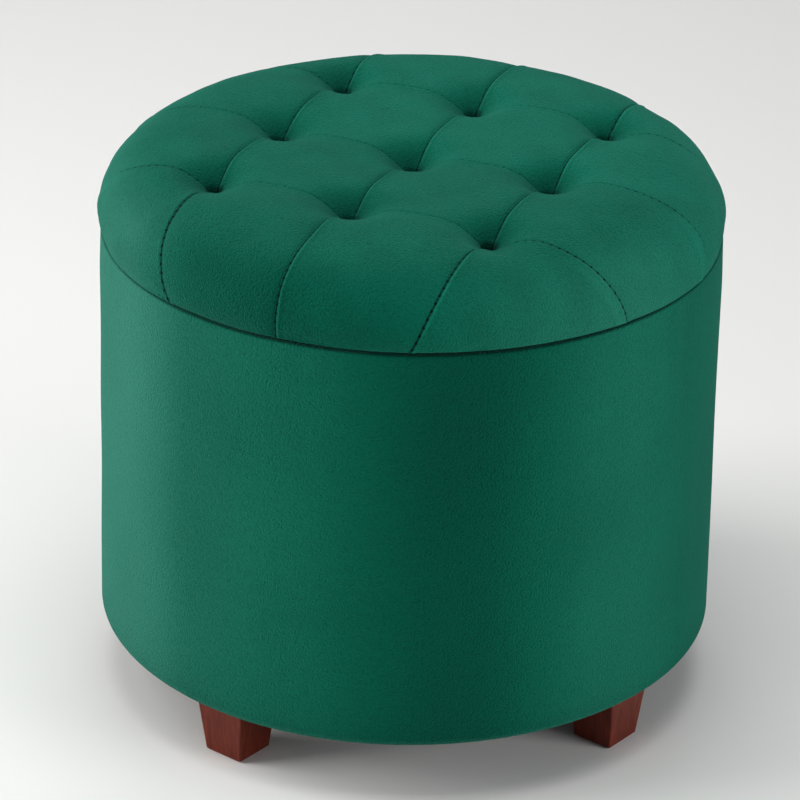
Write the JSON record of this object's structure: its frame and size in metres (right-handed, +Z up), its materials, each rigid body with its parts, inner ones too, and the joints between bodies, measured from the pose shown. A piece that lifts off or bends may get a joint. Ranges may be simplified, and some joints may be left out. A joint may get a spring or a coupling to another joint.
{
  "type": "storage ottoman",
  "caption": "Round velvet ottoman: a padded drum with storage inside, on tapered wooden feet, under a loose tufted padded lid that lifts off.",
  "frame": {"origin": "on the floor under the centre of the round drum", "axes": "+Z up along the drum's axis; -Y is the front; the four feet stand on the diagonals between X and Y"},
  "size_m": [0.5118, 0.5118, 0.4771],
  "materials": {
    "velvet": "matte",
    "foam": "matte",
    "fibre": "matte",
    "board": "matte",
    "foot_wood": "satin",
    "black_lining": "matte",
    "steel": "satin",
    "zinc": "satin",
    "twine": "matte"
  },
  "bodies": {
    "drum": {"wall_outer_ply": "board", "wall_inner_ply": "board", "base_board": "board", "base_screws": "zinc", "wall_foam": "foam", "body_cover": "velvet", "cover_staples": "steel", "rim_staples": "steel", "wall_lining": "black_lining", "floor_board": "board", "floor_lining": "black_lining", "dust_cover": "black_lining", "dust_cover_staples": "steel", "tee_nuts": "zinc", "hanger_bolts": "steel", "foot_front_left": "foot_wood", "foot_front_right": "foot_wood", "foot_back_left": "foot_wood", "foot_back_right": "foot_wood"},
    "lid": {"lid_board": "board", "lid_foam": "foam", "lid_batting": "fibre", "lid_cover": "velvet", "lid_staples": "steel", "lid_underlining": "black_lining", "locator_ring": "board", "locator_screws": "zinc", "tuft_twines": "twine", "twine_washers": "steel"}
  },
  "joints": [
    {"name": "lid_lift", "type": "slide", "parent": "drum", "child": "lid", "axis": [0, 0, 1], "range_m": [0, 0.45]}
  ]
}
